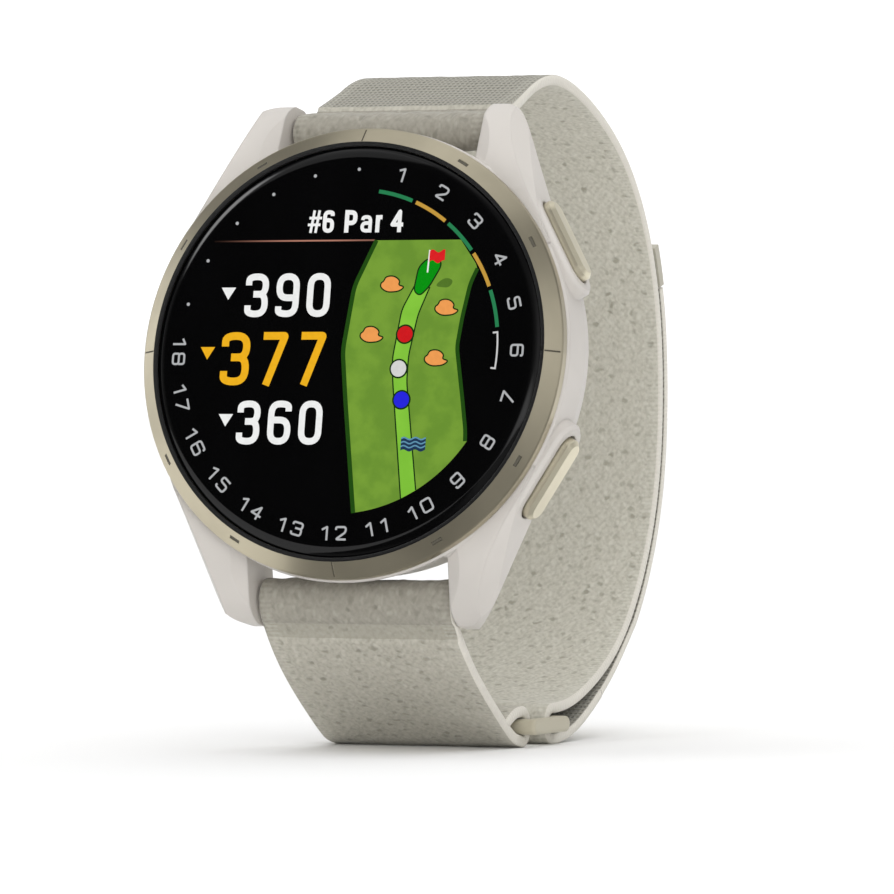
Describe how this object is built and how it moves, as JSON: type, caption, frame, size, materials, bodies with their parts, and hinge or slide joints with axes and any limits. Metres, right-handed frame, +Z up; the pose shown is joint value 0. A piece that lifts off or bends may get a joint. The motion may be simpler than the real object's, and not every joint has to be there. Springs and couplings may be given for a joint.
{
  "type": "golf gps watch",
  "caption": "Round golf GPS watch on its closed hook-and-loop strap: pressing side buttons, strap pivots on quick-release spring bars, buckle ring, peelable tail.",
  "frame": {"origin": "on the table, under the middle of the whole watch as it stands on its strap loop", "axes": "+Z up; -Y the way the dial faces, leaning back 10 degrees; +X towards 3 o'clock and the two buttons"},
  "size_m": [0.043, 0.0594, 0.0635],
  "materials": {
    "case_plastic": "fine satin moulded polymer, warm ivory",
    "bezel_metal": "satin anodised champagne, engraved marks",
    "button_metal": "satin anodised champagne",
    "lens": "black-backed toughened glass, polished",
    "display": "black display panel",
    "seal_rubber": "soft black rubber",
    "frame_plastic": "black glass-filled polymer",
    "antenna_metal": "plated antenna ring",
    "board": "green solder mask",
    "chip": "black moulded package",
    "steel": "plain steel",
    "battery_foil": "foil pouch",
    "foam": "grey foam pad",
    "flex": "amber polyimide ribbon",
    "cover_plastic": "satin moulded polymer, light grey",
    "sensor_lens": "dark sensor window, polished",
    "led": "clear light-emitting chips",
    "contact": "gold-plated contacts",
    "strap_fabric": "woven heather nylon, greige",
    "hook_tape": "hook tape",
    "ring_plastic": "moulded ring, khaki",
    "tab_plastic": "welded end tab"
  },
  "bodies": {
    "case": {"case_shell": "case_plastic", "bezel_ring": "bezel_metal", "cover_glass": "lens", "rear_cover": "cover_plastic", "rear_cover_screws": "steel", "sensor_window": "sensor_lens", "charging_socket": "frame_plastic", "charging_contacts": "contact", "bezel_gasket": "seal_rubber", "glass_seal": "seal_rubber", "display_panel": "display", "display_flex": "flex", "mid_frame": "frame_plastic", "antenna_ring": "antenna_metal", "main_board": "board", "board_screws": "steel", "shield_can": "steel", "processor_chip": "chip", "gps_chip": "chip", "battery": "battery_foil", "battery_pad": "foam", "vibration_motor": "steel", "rear_cover_gasket": "seal_rubber", "sensor_baffle": "frame_plastic", "sensor_board": "board", "sensor_leds": "led", "sensor_photodiodes": "chip", "upper_switch": "chip", "lower_switch": "chip"},
    "upper_button": {"upper_button_cap": "button_metal", "upper_button_stem": "steel", "upper_button_seal": "seal_rubber", "upper_button_clip": "steel", "upper_switch_plunger": "chip"},
    "lower_button": {"lower_button_cap": "button_metal", "lower_button_stem": "steel", "lower_button_seal": "seal_rubber", "lower_button_clip": "steel", "lower_switch_plunger": "chip"},
    "long_strap": {"long_strap": "strap_fabric", "upper_spring_bar_tube": "steel", "upper_spring_bar_fixed_tip": "steel", "upper_spring_bar_spring": "steel"},
    "short_strap": {"short_strap": "strap_fabric", "lower_spring_bar_tube": "steel", "lower_spring_bar_fixed_tip": "steel", "lower_spring_bar_spring": "steel"},
    "upper_release": {"upper_spring_bar_release_tip": "steel"},
    "lower_release": {"lower_spring_bar_release_tip": "steel"},
    "buckle_ring": {"buckle_ring": "ring_plastic"},
    "strap_tail": {"strap_tail": "strap_fabric", "tail_end_tab": "tab_plastic", "hook_patch": "hook_tape"}
  },
  "joints": [
    {"name": "upper_button_press", "type": "slide", "parent": "case", "child": "upper_button", "axis": [-0.866, -0.0868, -0.4924], "range_m": [0, 0.0004], "stiffness_N_per_m": 300, "springref_m": -0.001},
    {"name": "lower_button_press", "type": "slide", "parent": "case", "child": "lower_button", "axis": [-0.866, 0.0868, 0.4924], "range_m": [0, 0.0004], "stiffness_N_per_m": 300, "springref_m": -0.001},
    {"name": "short_strap_swing", "type": "hinge", "parent": "case", "child": "short_strap", "pos_m": [-0.00016, -0.02272, 0.01425], "axis": [1, 0, 0], "range_deg": [-1.5, 5]},
    {"name": "long_strap_swing", "type": "hinge", "parent": "case", "child": "long_strap", "pos_m": [-0.00016, -0.01508, 0.05758], "axis": [1, 0, 0], "range_deg": [-0.5, 1.3]},
    {"name": "ring_swing", "type": "hinge", "parent": "short_strap", "child": "buckle_ring", "pos_m": [-0.00016, -0.00739, 0.00195], "axis": [1, 0, 0], "range_deg": [-14, 5]},
    {"name": "tail_peel", "type": "hinge", "parent": "long_strap", "child": "strap_tail", "pos_m": [-0.00016, 0.02091, 0.00995], "axis": [-1, 0, 0], "range_deg": [0, 65]},
    {"name": "upper_release_slide", "type": "slide", "parent": "long_strap", "child": "upper_release", "axis": [1, 0, 0], "range_m": [0, 0.0012], "stiffness_N_per_m": 250, "springref_m": -0.002, "deforming": ["upper_spring_bar_spring"]},
    {"name": "lower_release_slide", "type": "slide", "parent": "short_strap", "child": "lower_release", "axis": [1, 0, 0], "range_m": [0, 0.0012], "stiffness_N_per_m": 250, "springref_m": -0.002, "deforming": ["lower_spring_bar_spring"]}
  ],
  "couplings": [
    {"joint": "long_strap_swing", "follows": "short_strap_swing", "ratio": 0.2211},
    {"joint": "ring_swing", "follows": "short_strap_swing", "ratio": -2.6211}
  ]
}
